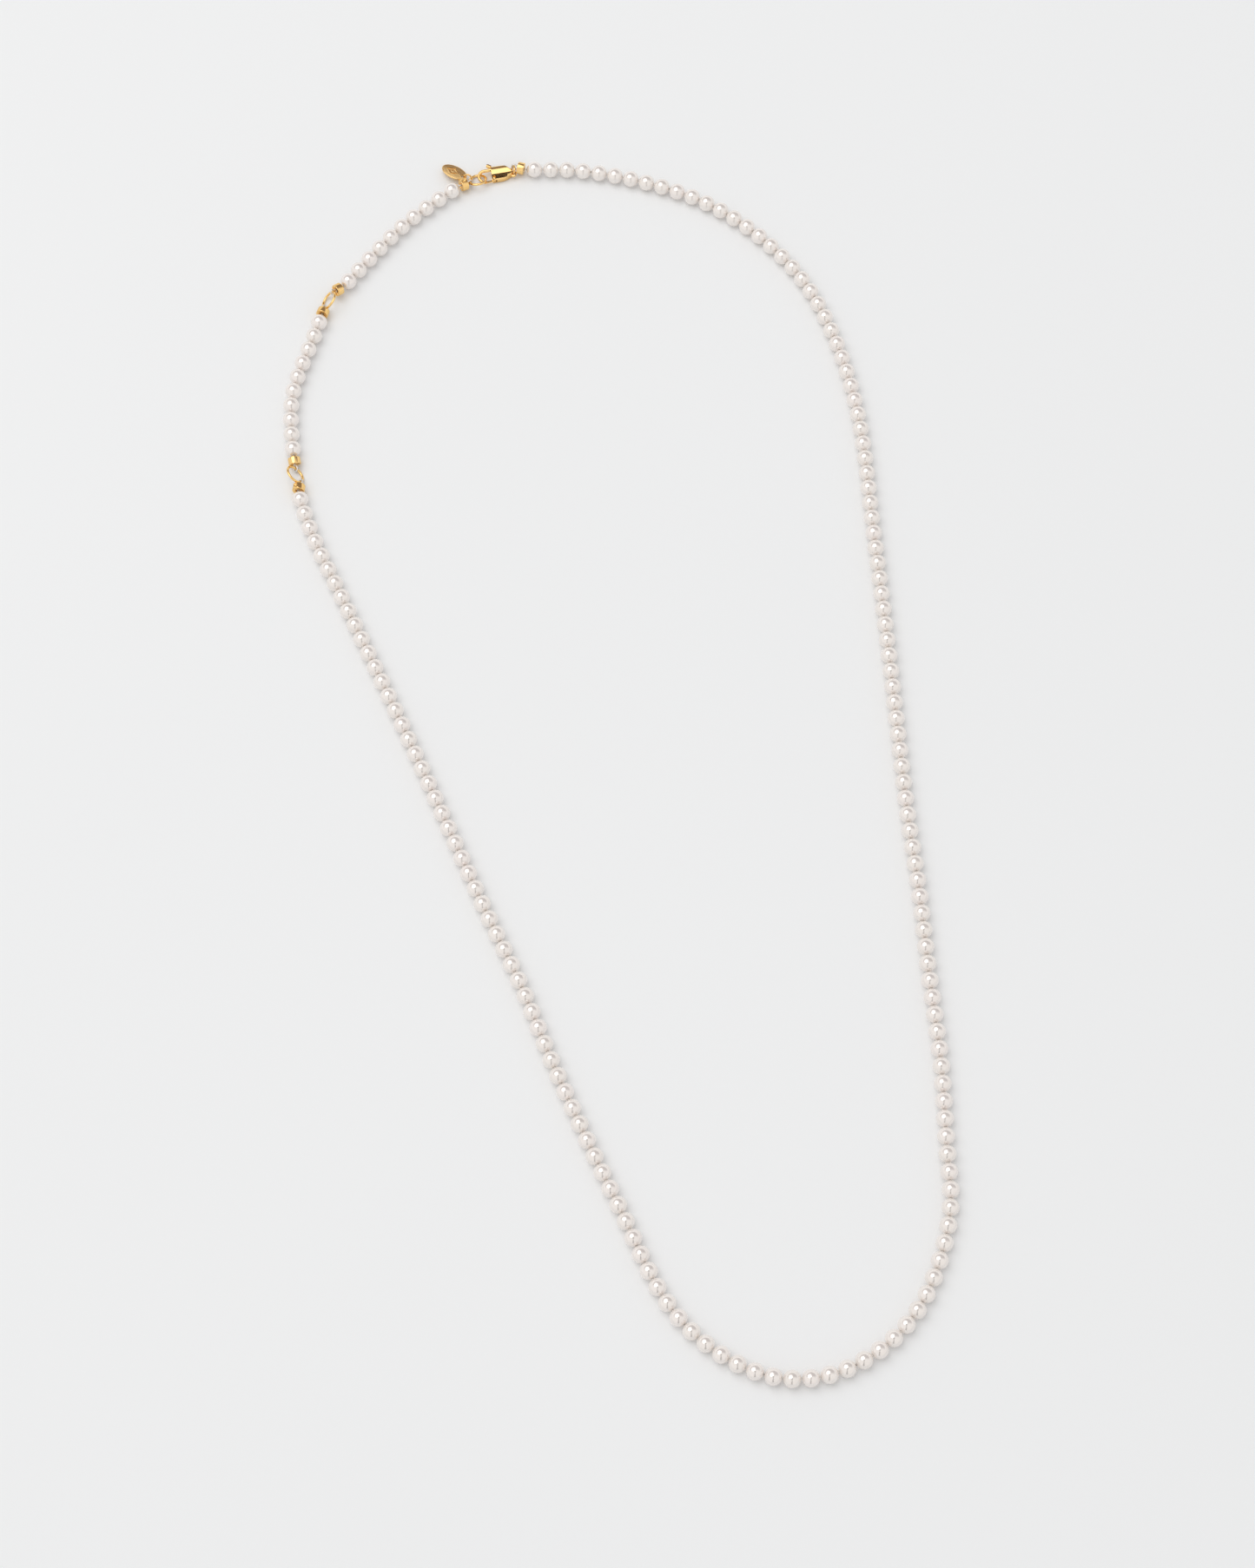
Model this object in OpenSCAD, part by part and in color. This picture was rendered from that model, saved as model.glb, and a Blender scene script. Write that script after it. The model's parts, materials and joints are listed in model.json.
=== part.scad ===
// Adjustable pearl necklace: a long strand of 154 small round pearls and two
// short strands of 10, joined by two connector rings and closed by a lobster
// clasp on an end ring with an oval tag. It lies flat as a closed loop on a
// table at z = 0, with its long way along Y. All sizes are in millimetres.

/* [Pearls] */
// Diameter of every pearl
pearl_d = 4; // [3.6:0.1:4]
// Diameter of the drilled hole through a pearl
pearl_hole_d = 0.8; // [0.7:0.05:1]
// Pearls on the long strand
long_count = 154; // [146:1:154]
// Pearls on each of the two short strands
short_count = 10; // [9:1:10]

/* [Beading wire] */
// Diameter of the coated steel wire that carries the pearls
wire_d = 0.4; // [0.3:0.02:0.42]

/* [Crimp barrels] */
// Outside diameter of a barrel
crimp_d = 3; // [2.8:0.1:3.2]
// Length of a barrel
crimp_l = 1.7; // [1.6:0.1:1.8]
// Bore that both legs of the wire share
crimp_bore_d = 1.3; // [1.2:0.05:1.5]
// Diameter of the set screw that grips the wire
screw_d = 1; // [0.8:0.05:1.1]

/* [Rings] */
// Outside diameter of the ring that the clasp hooks
end_ring_d = 4.8; // [4.6:0.1:4.8]
// Wire diameter of the end ring and of the connector rings
ring_wire_d = 0.6; // [0.5:0.05:0.6]
// Outside diameter of a connector ring
link_d = 5.2; // [4.6:0.1:5.2]
// Outside diameter of the jump ring at the clasp's tail
jump_ring_d = 2.6; // [2.5:0.05:2.6]
// Wire diameter of the jump ring
jump_wire_d = 0.5; // [0.4:0.05:0.5]
// Outside diameter of the small ring that holds the tag
tag_ring_d = 2.6; // [2.5:0.05:2.7]
// Wire diameter of the tag's ring
tag_wire_d = 0.4; // [0.3:0.05:0.45]

/* [Clasp] */
// Thickness of the clasp's casing
clasp_t = 2.4; // [2.2:0.1:2.5]
// Section of the hook, across and through
hook_w = 0.84; // [0.7:0.02:0.86]
// Diameter of the lever's rivet
rivet_d = 0.7; // [0.5:0.05:0.75]

/* [Tag] */
// Length of the oval tag
tag_l = 7; // [6.6:0.1:7]
// Width of the oval tag
tag_w = 4.2; // [3.6:0.1:4.4]
// Thickness of the oval tag
tag_t = 0.5; // [0.4:0.05:0.5]

/* [Hidden] */
$fn = 48;
eps = 0.01;
strand_z = 2;          // height of the pearls' centre line over the table

pearl_col = "white";
gold = "gold";
steel = "silver";

// ---------------------------------------------------------------- vectors
function unit(v) = v / norm(v);
function flat(p, z) = [p[0], p[1], z];
function mid(a, b) = (a + b) / 2;

// ---------------------------------------------------------------- routes
// Points that each strand runs through, from the clasp's side onward.
long_way = [
  [-21.85, 155.45], [-8, 155], [8, 151.5], [23, 145.5], [36, 136], [47, 123],
  [54, 108], [58.5, 92], [61, 76], [62.5, 56], [64, 38], [65.5, 19],
  [67, -2], [68.5, -22], [70.5, -41], [72, -61], [74, -83], [74.5, -103],
  [75, -115], [72.5, -127], [67.5, -138.5], [59.5, -147.5], [48.5, -153.5],
  [36.5, -154.5], [25, -150], [15.5, -142], [9, -132], [2.5, -117.5],
  [-4.5, -102.5], [-13, -83], [-20.5, -64], [-29, -45.5], [-37, -27],
  [-45, -8.5], [-53, 9.5], [-61.5, 28], [-67, 40], [-71, 48.5],
  [-74, 56.5], [-76, 63]
];
short_way_a = [[-39, 150.5], [-46.5, 144.5], [-53, 138.5], [-60.5, 129.5], [-67, 121]];
short_way_b = [[-72.15, 112.75], [-74, 106], [-76.5, 98.5], [-78.5, 90], [-78.5, 82], [-77.5, 73]];

// A smooth curve through a list of points.
function bend(p, i, t) =
  let (a = p[max(i - 1, 0)], b = p[i], c = p[i + 1], d = p[min(i + 2, len(p) - 1)])
  0.5 * (2 * b + (c - a) * t + (2 * a - 5 * b + 4 * c - d) * t * t
    + (3 * b - a - 3 * c + d) * t * t * t);
function curve(p, n = 12) = concat(
  [for (i = [0 : len(p) - 2]) for (k = [0 : n - 1]) bend(p, i, k / n)],
  [p[len(p) - 1]]);
// Distance along a curve at each of its points.
function along(c) = [for (i = 0, a = 0; i < len(c);
  a = a + (i < len(c) - 1 ? norm(c[i + 1] - c[i]) : 0), i = i + 1) a];
function slot_of(s, v, lo, hi) = hi - lo <= 1 ? lo
  : let (m = floor((lo + hi) / 2)) s[m] <= v ? slot_of(s, v, m, hi) : slot_of(s, v, lo, m);
function at(c, s, v) = let (i = slot_of(s, v, 0, len(c) - 1))
  c[i] + (c[i + 1] - c[i]) * (v - s[i]) / (s[i + 1] - s[i]);
// The gaps between pearls, where the strand bends: n + 1 evenly spaced points.
function gaps(p, n) = let (c = curve(p), s = along(c), total = s[len(s) - 1])
  [for (i = [0 : n]) flat(at(c, s, min(i * total / n, total - 0.0001)), strand_z)];

raw_c = gaps(long_way, long_count);
raw_a = gaps(short_way_a, short_count);
raw_b = gaps(short_way_b, short_count);

// The loop is centred on the origin along X and Y.
function low(v, k) = min([for (i = [0 : len(v) - 2]) mid(v[i], v[i + 1])[k]]) - pearl_d / 2;
function high(v, k) = max([for (i = [0 : len(v) - 2]) mid(v[i], v[i + 1])[k]]) + pearl_d / 2;
shift = -[
  (min(low(raw_a, 0), low(raw_b, 0), low(raw_c, 0)) + high(raw_c, 0)) / 2,
  (low(raw_c, 1) + 157.9) / 2,
  0];
strand_a = [for (p = raw_a) p + shift];
strand_b = [for (p = raw_b) p + shift];
strand_c = [for (p = raw_c) p + shift];

// ---------------------------------------------------------------- clasp place
clasp_turn = 10.6;
clasp_at = [-28.25, 154.45, 0] + shift;
function from_clasp(p) = clasp_at + [
  cos(clasp_turn) * p[0] - sin(clasp_turn) * p[1],
  sin(clasp_turn) * p[0] + cos(clasp_turn) * p[1], p[2]];
module on_clasp() translate(clasp_at) rotate([0, 0, clasp_turn]) children();

hook_z = 1.42;                 // middle of the hook
hook_tilt = 7;                 // its tip dips, its arm rises
hook_c = [-4.15, 0.1];         // centre of the hook's curve
hook_r = 1.5;                  // radius of the hook's curve
gate_z = [0.72, 1.14];         // the lever lies between these heights
pivot = [-1.9, -0.8];          // rivet
eye = [3.05, -0.3];             // hole in the tail
eye_d = 1;

// ---------------------------------------------------------------- ring places
// A ring is [centre, one radius direction, the other radius direction, radius].
function on_ring(r, a) = r[0] + r[3] * (cos(a) * r[1] + sin(a) * r[2]);
function tangent(r, a) = -sin(a) * r[1] + cos(a) * r[2];
function tilted(c, turn, tilt, rad) = [c, [cos(turn), sin(turn), 0],
  [-sin(turn) * cos(tilt), cos(turn) * cos(tilt), sin(tilt)], rad];

end_ring_r = (end_ring_d - ring_wire_d) / 2;
end_ring_at = tilted([-34.2, 152.8, 1.35] + shift, 16, -25, end_ring_r);
end_hold = 190;                // where the first barrel's wire loop sits
tag_hold = 152;                // where the tag's ring sits

jump_r = (jump_ring_d - jump_wire_d) / 2;
jump_turn = 85;
jump_lean = 65;
jump_at = let (p = [cos(jump_turn), sin(jump_turn), 0],
    q = [sin(jump_turn) * cos(jump_lean), -cos(jump_turn) * cos(jump_lean), sin(jump_lean)],
    c = [eye[0], eye[1], 1.24] + jump_r * p)
  [from_clasp(c), from_clasp(p) - clasp_at, from_clasp(q) - clasp_at, jump_r];
jump_hold = 66;

link_r = (link_d - ring_wire_d) / 2;
link_1_at = tilted([-70.43, 117.18, 2.02] + shift, -103, 48, link_r);
link_2_at = tilted([-76.86, 67.85, 2.02] + shift, -67, -48, link_r);

// Tag: lies tilted, its near edge up, with its hole toward the end ring.
tag_turn = -32;
tag_tilt = -16;
tag_hole_d = 1.1;
tag_hole_x = tag_l / 2 - 0.95;
tag_at = [-40.1, 155.2, 1.3] + shift;
function from_tag(p) = tag_at + [
  cos(tag_turn) * p[0] - sin(tag_turn) * (cos(tag_tilt) * p[1] - sin(tag_tilt) * p[2]),
  sin(tag_turn) * p[0] + cos(tag_turn) * (cos(tag_tilt) * p[1] - sin(tag_tilt) * p[2]),
  sin(tag_tilt) * p[1] + cos(tag_tilt) * p[2]];
tag_ring_r = (tag_ring_d - tag_wire_d) / 2;
tag_hole_at = from_tag([tag_hole_x, 0, 0]);
tag_ring_at = let (h = on_ring(end_ring_at, tag_hold), d = h - tag_hole_at,
    u = unit([d[0], d[1], 0]), c = h - 0.48 * u + [0, 0, 0.25])
  [c, u, [-0.5 * u[1], 0.5 * u[0], 0.866], tag_ring_r];

// ---------------------------------------------------------------- barrels
// Each barrel is [pearl-side end of the wire, centre of the ring's wire,
// direction of the ring's wire there, turn of its screw, distance from its face
// to the centre of the ring's wire, length of the neck on its pearl side].
barrels = [
  [strand_a[0], on_ring(end_ring_at, end_hold), tangent(end_ring_at, end_hold), 175, 0.85, 0],
  [strand_a[short_count], on_ring(link_1_at, 158), tangent(link_1_at, 158), 330, 0.65, 0.35],
  [strand_b[0], on_ring(link_1_at, -22), tangent(link_1_at, -22), 20, 0.75, 0],
  [strand_b[short_count], on_ring(link_2_at, 150), tangent(link_2_at, 150), 350, 1, 0.3],
  [strand_c[long_count], on_ring(link_2_at, 14), tangent(link_2_at, 14), 150, 1, 0],
  [strand_c[0], on_ring(jump_at, jump_hold), tangent(jump_at, jump_hold), 340, 0.9, 0]
];
function barrel_dir(b) = unit(b[1] - b[0]);
function barrel_mid(b) = b[1] - (b[4] + crimp_l / 2) * barrel_dir(b);

// ---------------------------------------------------------------- placing
// Turns +Z toward d, with +X kept level.
module toward(d) rotate([0, acos(d[2] / norm(d)), atan2(d[1], d[0])]) children();
// A round wire ring in place.
module wire_ring(r, wire) {
  n = cross(r[1], r[2]);
  translate(r[0]) toward(n) rotate_extrude($fn = 64)
    translate([r[3], 0]) circle(d = wire, $fn = 24);
}

// ---------------------------------------------------------------- pearls
module pearl() difference() {
  sphere(d = pearl_d, $fn = 64);
  cylinder(d = pearl_hole_d, h = pearl_d + 1, center = true, $fn = 24);
}
// Pearls i to j - 1 of a strand.
module run(s, i, j) color(pearl_col) for (k = [i : j - 1])
  translate(mid(s[k], s[k + 1])) toward(s[k + 1] - s[k]) pearl();
long_groups = 31;
function first_of(k) = floor(k * long_count / long_groups);
module long_run(k) run(strand_c, first_of(k), first_of(k + 1));
short_half = floor(short_count / 2);

// ---------------------------------------------------------------- wires
leg = wire_d / 2 + 0.03;
// The looped end of a wire at a barrel, from its cut end to the strand.
function loop_end(b, wire = ring_wire_d) =
  let (u = barrel_dir(b), m = unit(cross(b[2], u)), h = b[1],
    r = wire / 2 / norm(cross(b[2], u)) + wire_d / 2 + 0.14,
    face = h - b[4] * u, w = min(0.8 * r, 0.38))
  concat(
    [face - (crimp_l - 0.15) * u - leg * m, face - 0.55 * u - leg * m, face - w * m],
    [for (a = [-75 : 25 : 75]) h + r * (cos(a) * u + sin(a) * m)],
    [face + w * m, face - 0.55 * u + leg * m, face - (crimp_l - 0.5) * u + leg * m]);
function reversed(p) = [for (i = [len(p) - 1 : -1 : 0]) p[i]];
function wire_path(first, strand, last, wire_1, wire_2) =
  concat(loop_end(first, wire_1), strand, reversed(loop_end(last, wire_2)));

// A tube of eight sides through a list of points.
function ways(p) = [for (i = [0 : len(p) - 1])
  unit(unit(p[min(i + 1, len(p) - 1)] - p[max(i - (i == len(p) - 1 ? 1 : 0), 0)])
    + unit(p[max(i, 1)] - p[max(i, 1) - 1]))];
function sides(w) = [for (i = 0, n = unit(cross(w[0], [0.3, 0.2, 1])); i < len(w);
  i = i + 1, n = i < len(w) ? unit(n - (n * w[i]) * w[i]) : n) n];
module tube(p, d) {
  w = ways(p);
  n = sides(w);
  k = len(p);
  pts = [for (i = [0 : k - 1]) for (j = [0 : 7])
    p[i] + d / 2 * (cos(45 * j) * n[i] + sin(45 * j) * cross(w[i], n[i]))];
  polyhedron(pts, concat(
    [[for (j = [0 : 7]) j]],
    [for (i = [0 : k - 2]) for (j = [0 : 7])
      [i * 8 + j, (i + 1) * 8 + j, (i + 1) * 8 + (j + 1) % 8, i * 8 + (j + 1) % 8]],
    [[for (j = [7 : -1 : 0]) (k - 1) * 8 + j]]));
}

// ---------------------------------------------------------------- barrels
module barrel(b) {
  u = barrel_dir(b);
  c = 0.12;
  foot = -crimp_l / 2;
  bore = crimp_bore_d / 2;
  end = b[5] > 0
    ? [[bore, foot - b[5]], [bore + 0.25, foot - b[5]], [bore + 0.25, foot]]
    : [[bore, foot + c], [bore + c, foot]];
  color(gold) translate(barrel_mid(b)) toward(u) difference() {
    rotate_extrude($fn = 64) polygon(concat(end, [
      [crimp_d / 2 - c, foot], [crimp_d / 2, foot + c],
      [crimp_d / 2, -foot - c], [crimp_d / 2 - c, -foot],
      [bore + c, -foot], [bore, -foot - c]]));
    rotate([0, 0, b[3]]) rotate([0, 90, 0])
      cylinder(d = screw_d + 0.04, h = crimp_d, $fn = 32);
  }
}
// The set screw: its tip stands just off the wires, its head is dished with a
// raised middle.
module set_screw(b) {
  tip = wire_d + 0.17;
  top = crimp_d / 2 - 0.1;
  color(gold) translate(barrel_mid(b)) toward(barrel_dir(b)) rotate([0, 0, b[3]])
    rotate([0, 90, 0]) rotate_extrude($fn = 32) polygon([
      [0, tip], [screw_d / 2 - 0.1, tip], [screw_d / 2, tip + 0.1],
      [screw_d / 2, top], [screw_d / 2 - 0.1, top], [0.25, top - 0.15],
      [0.18, top], [0, top + 0.03]]);
}

// ---------------------------------------------------------------- clasp parts
module casing_outline() {
  polygon([[-2.4, -1.2], [-2.2, -1.4], [0.5, -1.38], [1.35, -1.12], [1.9, -0.8], [2.6, -0.6],
    [2.6, 0.45], [2.15, 0.95], [1.75, 1.45], [1.2, 1.85], [0.6, 1.98], [-2.0, 2.1], [-2.4, 1.95]]);
}
module clasp_body() color(gold) on_clasp() {
  z0 = 0.15;
  difference() {
    union() {
      // casing, softened top and bottom
      translate([0, 0, z0 + 0.25]) linear_extrude(clasp_t - 0.5) casing_outline();
      for (s = [[z0, 0.25], [z0 + clasp_t - 0.25, 0.25]])
        translate([0, 0, s[0]]) linear_extrude(s[1]) offset(delta = -0.25) casing_outline();
      // tail with the eye
      translate([eye[0], eye[1], 0.9]) cylinder(r = 0.85, h = 0.6);
      // hook's root, arm and curve
      translate([-2.85, 1.18, z0 + 0.4]) cube([0.7, 0.85, clasp_t - 0.8]);
      translate([hook_c[0], hook_c[1], hook_z]) rotate([hook_tilt, 0, 0]) {
        translate([0, hook_r, 0]) rotate([0, 90, 0])
          cylinder(d = hook_w, h = -hook_c[0] - 2.2, $fn = 24);
        rotate([0, 0, 90]) rotate_extrude(angle = 142, $fn = 64)
          translate([hook_r, 0]) circle(d = hook_w, $fn = 24);
      }
    }
    // the slot that the lever works in, open at its near left and far sides
    translate([-2.25, -1, gate_z[0] - 0.06]) cube([3.45, 4, gate_z[1] - gate_z[0] + 0.12]);
    translate([-3.5, -2, gate_z[0] - 0.06]) cube([2.7, 2.95, gate_z[1] - gate_z[0] + 0.12]);
    // rivet hole
    translate([pivot[0], pivot[1], -1]) cylinder(d = rivet_d + 0.02, h = 5);
    // eye, with level faces around it
    translate([eye[0], eye[1], -1]) cylinder(d = eye_d, h = 5, $fn = 32);
    for (z = [1.52, -4.12]) translate([eye[0] + 0.3, eye[1] + 0.45, z])
      cylinder(r = 1.25, h = 5);
  }
}
// Lever: gate bar, hub on the rivet and thumb tab.
module clasp_lever() color(gold) on_clasp() difference() {
  union() {
    translate([0, 0, gate_z[0]]) linear_extrude(gate_z[1] - gate_z[0]) {
      translate(pivot) circle(r = 0.55);
      polygon([[-4.6, -1.66], [-4.66, -1.45], [-4.6, -1.28], [-2.3, -1.06], [-2.15, -0.4],
        [-2.1, 2.2], [-3.35, 3.15], [-3.05, 3.5], [-2.75, 3.45], [-1.35, 2.35],
        [-1.35, -0.6], [-1.6, -1.24], [-2.4, -1.5]]);
    }
    // thumb pad
    translate([0, 0, gate_z[0]]) linear_extrude(0.95)
      polygon([[-2.45, 2.5], [-3.35, 3.15], [-3.05, 3.5], [-2.75, 3.45], [-2.05, 2.9]]);
  }
  translate([pivot[0], pivot[1], 0]) cylinder(d = rivet_d + 0.1, h = 3);
}
module clasp_rivet() color(gold) on_clasp() translate([pivot[0], pivot[1], 0.1])
  cylinder(d = rivet_d, h = clasp_t + 0.1);
// Bent leaf spring in the slot, behind the lever.
module clasp_spring() color(steel) on_clasp() translate([0, 0, gate_z[0] + 0.03])
  linear_extrude(gate_z[1] - gate_z[0] - 0.06)
    polygon([[-1.28, 1.5], [-1.16, 1.56], [0.5, 0.75], [1.02, 0.2], [1.02, -0.1], [0.7, -0.5],
      [-0.7, -0.85], [-0.72, -0.97], [0.78, -0.62], [1.16, -0.14], [1.16, 0.24], [0.6, 0.85],
      [-1.2, 1.72], [-1.31, 1.68]]);
module jump_ring() color(gold) wire_ring(jump_at, jump_wire_d);

// ---------------------------------------------------------------- rings, tag
module end_ring() color(gold) wire_ring(end_ring_at, ring_wire_d);
module link_1() color(gold) wire_ring(link_1_at, ring_wire_d);
module link_2() color(gold) wire_ring(link_2_at, ring_wire_d);
module tag_ring() color(gold) wire_ring(tag_ring_at, tag_wire_d);
function oval(l, w, n = 56) = [for (i = [0 : n - 1]) [l / 2 * cos(i * 360 / n), w / 2 * sin(i * 360 / n)]];
module tag() color(gold) translate(tag_at) rotate([0, 0, tag_turn]) rotate([tag_tilt, 0, 0])
  difference() {
    union() {
      translate([0, 0, -tag_t / 2]) linear_extrude(tag_t) polygon(oval(tag_l - 0.2, tag_w - 0.2));
      translate([0, 0, -tag_t / 2 + 0.1]) linear_extrude(tag_t - 0.2) polygon(oval(tag_l, tag_w));
    }
    // engraved lozenge
    translate([-0.5, 0, tag_t / 2 - 0.08]) linear_extrude(1) difference() {
      polygon([[-1.5, 0], [0, -1], [1.5, 0], [0, 1]]);
      polygon([[-1, 0], [0, -0.65], [1, 0], [0, 0.65]]);
    }
    translate([tag_hole_x, 0, -1]) cylinder(d = tag_hole_d, h = 2, $fn = 32);
  }

// ---------------------------------------------------------------- sub-parts
module crimp_1() barrel(barrels[0]);
module crimp_2() barrel(barrels[1]);
module crimp_3() barrel(barrels[2]);
module crimp_4() barrel(barrels[3]);
module crimp_5() barrel(barrels[4]);
module crimp_6() barrel(barrels[5]);
module screw_1() set_screw(barrels[0]);
module screw_2() set_screw(barrels[1]);
module screw_3() set_screw(barrels[2]);
module screw_4() set_screw(barrels[3]);
module screw_5() set_screw(barrels[4]);
module screw_6() set_screw(barrels[5]);
module wire_a() color(steel)
  tube(wire_path(barrels[0], strand_a, barrels[1], ring_wire_d, ring_wire_d), wire_d);
module wire_b() color(steel)
  tube(wire_path(barrels[2], strand_b, barrels[3], ring_wire_d, ring_wire_d), wire_d);
module wire_c() color(steel)
  tube(wire_path(barrels[5], strand_c, barrels[4], jump_wire_d, ring_wire_d), wire_d);
module pearls_a1() run(strand_a, 0, short_half);
module pearls_a2() run(strand_a, short_half, short_count);
module pearls_b1() run(strand_b, 0, short_half);
module pearls_b2() run(strand_b, short_half, short_count);
module pearls_c01() long_run(0);
module pearls_c02() long_run(1);
module pearls_c03() long_run(2);
module pearls_c04() long_run(3);
module pearls_c05() long_run(4);
module pearls_c06() long_run(5);
module pearls_c07() long_run(6);
module pearls_c08() long_run(7);
module pearls_c09() long_run(8);
module pearls_c10() long_run(9);
module pearls_c11() long_run(10);
module pearls_c12() long_run(11);
module pearls_c13() long_run(12);
module pearls_c14() long_run(13);
module pearls_c15() long_run(14);
module pearls_c16() long_run(15);
module pearls_c17() long_run(16);
module pearls_c18() long_run(17);
module pearls_c19() long_run(18);
module pearls_c20() long_run(19);
module pearls_c21() long_run(20);
module pearls_c22() long_run(21);
module pearls_c23() long_run(22);
module pearls_c24() long_run(23);
module pearls_c25() long_run(24);
module pearls_c26() long_run(25);
module pearls_c27() long_run(26);
module pearls_c28() long_run(27);
module pearls_c29() long_run(28);
module pearls_c30() long_run(29);
module pearls_c31() long_run(30);

clasp_body();
clasp_lever();
clasp_rivet();
clasp_spring();
jump_ring();
end_ring();
tag_ring();
tag();
link_1();
link_2();
crimp_1();
crimp_2();
crimp_3();
crimp_4();
crimp_5();
crimp_6();
screw_1();
screw_2();
screw_3();
screw_4();
screw_5();
screw_6();
wire_a();
wire_b();
wire_c();
pearls_a1();
pearls_a2();
pearls_b1();
pearls_b2();
pearls_c01();
pearls_c02();
pearls_c03();
pearls_c04();
pearls_c05();
pearls_c06();
pearls_c07();
pearls_c08();
pearls_c09();
pearls_c10();
pearls_c11();
pearls_c12();
pearls_c13();
pearls_c14();
pearls_c15();
pearls_c16();
pearls_c17();
pearls_c18();
pearls_c19();
pearls_c20();
pearls_c21();
pearls_c22();
pearls_c23();
pearls_c24();
pearls_c25();
pearls_c26();
pearls_c27();
pearls_c28();
pearls_c29();
pearls_c30();
pearls_c31();
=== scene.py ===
"""Looks for the adjustable pearl necklace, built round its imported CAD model.

Lengths in the code are millimetres in the model's own frame; K turns them into metres.
"""

import json
import math

import bmesh
import bpy
import numpy as np
from mathutils import Matrix, Vector


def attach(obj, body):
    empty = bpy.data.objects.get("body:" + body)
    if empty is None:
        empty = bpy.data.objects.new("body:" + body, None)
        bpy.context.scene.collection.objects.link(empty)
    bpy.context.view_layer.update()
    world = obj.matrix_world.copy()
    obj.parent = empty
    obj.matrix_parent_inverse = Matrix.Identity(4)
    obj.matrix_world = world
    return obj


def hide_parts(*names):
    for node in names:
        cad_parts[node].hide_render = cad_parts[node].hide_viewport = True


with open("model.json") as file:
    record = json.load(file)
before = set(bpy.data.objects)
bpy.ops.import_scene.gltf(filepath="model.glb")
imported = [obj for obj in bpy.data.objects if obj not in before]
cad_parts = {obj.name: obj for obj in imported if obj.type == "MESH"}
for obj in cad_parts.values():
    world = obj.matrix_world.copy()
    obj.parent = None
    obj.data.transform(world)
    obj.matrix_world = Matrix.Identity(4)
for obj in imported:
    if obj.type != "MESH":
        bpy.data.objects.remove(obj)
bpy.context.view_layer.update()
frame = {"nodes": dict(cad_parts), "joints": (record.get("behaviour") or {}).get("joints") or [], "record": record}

K = 0.001
rng = np.random.default_rng(7)
scene = bpy.context.scene
scene.view_settings.view_transform = "Standard"
scene.view_settings.look = "None"
scene.view_settings.exposure = 0.0
scene.view_settings.gamma = 1.0

NODES = frame["nodes"]
BODY = {n: b for b, ns in frame["record"]["behaviour"]["bodies"].items() for n in ns}
JOINT = {j["name"]: j for j in frame["joints"]}


def pos(joint):
    return np.array(JOINT[joint]["pos_m"], float) / K


def axis(joint):
    a = np.array(JOINT[joint]["axis"], float)
    return a / np.linalg.norm(a)


def unit(v):
    v = np.asarray(v, float)
    return v / np.linalg.norm(v)


# ------------------------------------------------------------------ camera
TH, PSI = math.radians(23.693692), math.radians(-91.258868)
d = np.array([math.cos(PSI), math.sin(PSI), 0.0])
zw = np.array([0, 0, -1.0]) * math.cos(TH) + d * math.sin(TH)
xw = np.array([1.0, 0, 0]) - zw[0] * zw
xw /= np.linalg.norm(xw)
yw = np.cross(zw, xw)
cam_data = bpy.data.cameras.new("camera")
cam = bpy.data.objects.new("camera", cam_data)
scene.collection.objects.link(cam)
right = np.array([xw[0], yw[0], zw[0]])
up = -np.array([xw[1], yw[1], zw[1]])
ahead = np.array([xw[2], yw[2], zw[2]])
CAM = np.array([11.802, -326.620, 712.052])
m = Matrix.Identity(4)
for i in range(3):
    m[i][0], m[i][1], m[i][2], m[i][3] = right[i], up[i], -ahead[i], CAM[i] * K
cam.matrix_world = m
cam_data.sensor_fit = "AUTO"
cam_data.sensor_width = 36.0
cam_data.lens = 3840.513 / 1806 * 36.0
cam_data.clip_start, cam_data.clip_end = 0.01, 20
scene.camera = cam


# ------------------------------------------------------------------ materials
def material(name):
    mat = bpy.data.materials.new(name)
    mat.use_nodes = True
    nt = mat.node_tree
    return mat, nt, nt.nodes["Principled BSDF"]


def node(nt, kind, **sockets):
    n = nt.nodes.new(kind)
    for k, v in sockets.items():
        n.inputs[k.replace("_", " ")].default_value = v
    return n


def ramp(nt, source, stops):
    r = nt.nodes.new("ShaderNodeValToRGB")
    while len(r.color_ramp.elements) < len(stops):
        r.color_ramp.elements.new(0.5)
    for e, (p, c) in zip(r.color_ramp.elements, stops):
        e.position = p
        e.color = (*c, 1) if len(c) == 3 else (c[0], c[0], c[0], 1)
    nt.links.new(source, r.inputs["Fac"])
    return r.outputs["Color"]


def mixed(nt, fac, a, b, blend="MIX"):
    mx = nt.nodes.new("ShaderNodeMix")
    mx.data_type = "RGBA"
    mx.blend_type = blend
    for socket, v in ((mx.inputs[0], fac), (mx.inputs[6], a), (mx.inputs[7], b)):
        if hasattr(v, "node"):
            nt.links.new(v, socket)
        elif isinstance(v, (int, float)):
            socket.default_value = v
        else:
            socket.default_value = (*v, 1)
    return mx.outputs[2]


def to_range(nt, source, lo, hi, a=0.0, b=1.0):
    r = nt.nodes.new("ShaderNodeMapRange")
    r.inputs["From Min"].default_value = a
    r.inputs["From Max"].default_value = b
    r.inputs["To Min"].default_value = lo
    r.inputs["To Max"].default_value = hi
    nt.links.new(source, r.inputs["Value"])
    return r.outputs["Result"]


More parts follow.
